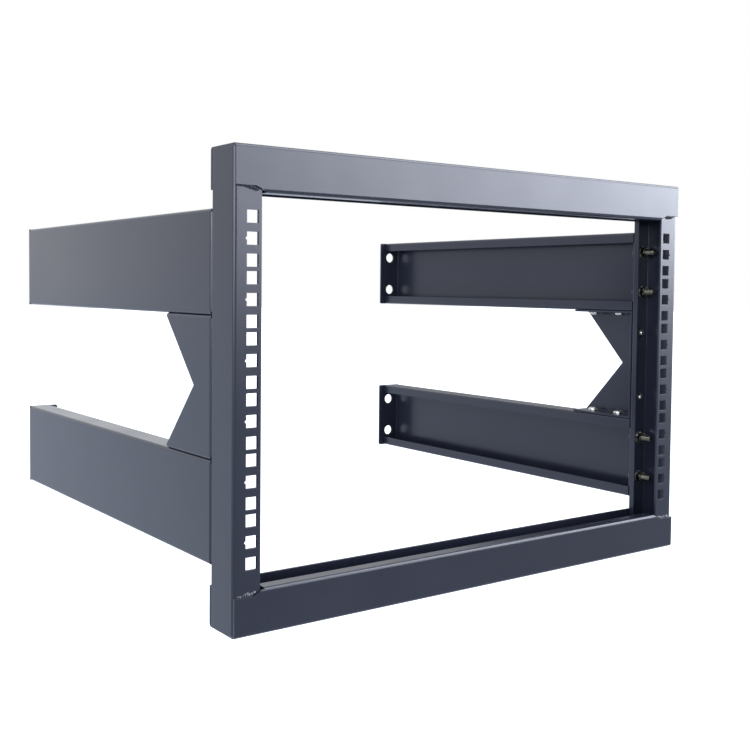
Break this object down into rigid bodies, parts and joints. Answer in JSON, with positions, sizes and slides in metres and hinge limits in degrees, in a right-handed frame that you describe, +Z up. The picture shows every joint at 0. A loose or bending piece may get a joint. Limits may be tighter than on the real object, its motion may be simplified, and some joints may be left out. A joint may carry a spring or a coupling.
{
  "type": "wall mount rack",
  "caption": "Open wall mount rack: square-hole front frame on four lipped arms that reach back to flanges for the wall, braced by notched gussets.",
  "frame": {"origin": "wall side of the upper left arm's wall flange, midway between its two bolt holes", "axes": "+Y into the wall, +X to the right seen from the front, +Z up"},
  "size_m": [0.496, 0.4572, 0.3596],
  "materials": {
    "powder_coat": "dark slate powder coat, fine satin texture",
    "zinc_plate": "bright zinc plate"
  },
  "bodies": {
    "root": {"left_post": "powder_coat", "right_post": "powder_coat", "top_beam": "powder_coat", "bottom_beam": "powder_coat", "left_gusset": "powder_coat", "right_gusset": "powder_coat", "upper_left_arm": "powder_coat", "upper_right_arm": "powder_coat", "lower_left_arm": "powder_coat", "lower_right_arm": "powder_coat", "upper_left_weld": "powder_coat", "upper_right_weld": "powder_coat", "lower_left_weld": "powder_coat", "lower_right_weld": "powder_coat", "upper_left_arm_bolts": "zinc_plate", "upper_left_arm_washers": "zinc_plate", "upper_left_arm_nuts": "zinc_plate", "upper_right_arm_bolts": "zinc_plate", "upper_right_arm_washers": "zinc_plate", "upper_right_arm_nuts": "zinc_plate", "lower_left_arm_bolts": "zinc_plate", "lower_left_arm_washers": "zinc_plate", "lower_left_arm_nuts": "zinc_plate", "lower_right_arm_bolts": "zinc_plate", "lower_right_arm_washers": "zinc_plate", "lower_right_arm_nuts": "zinc_plate"}
  },
  "joints": []
}
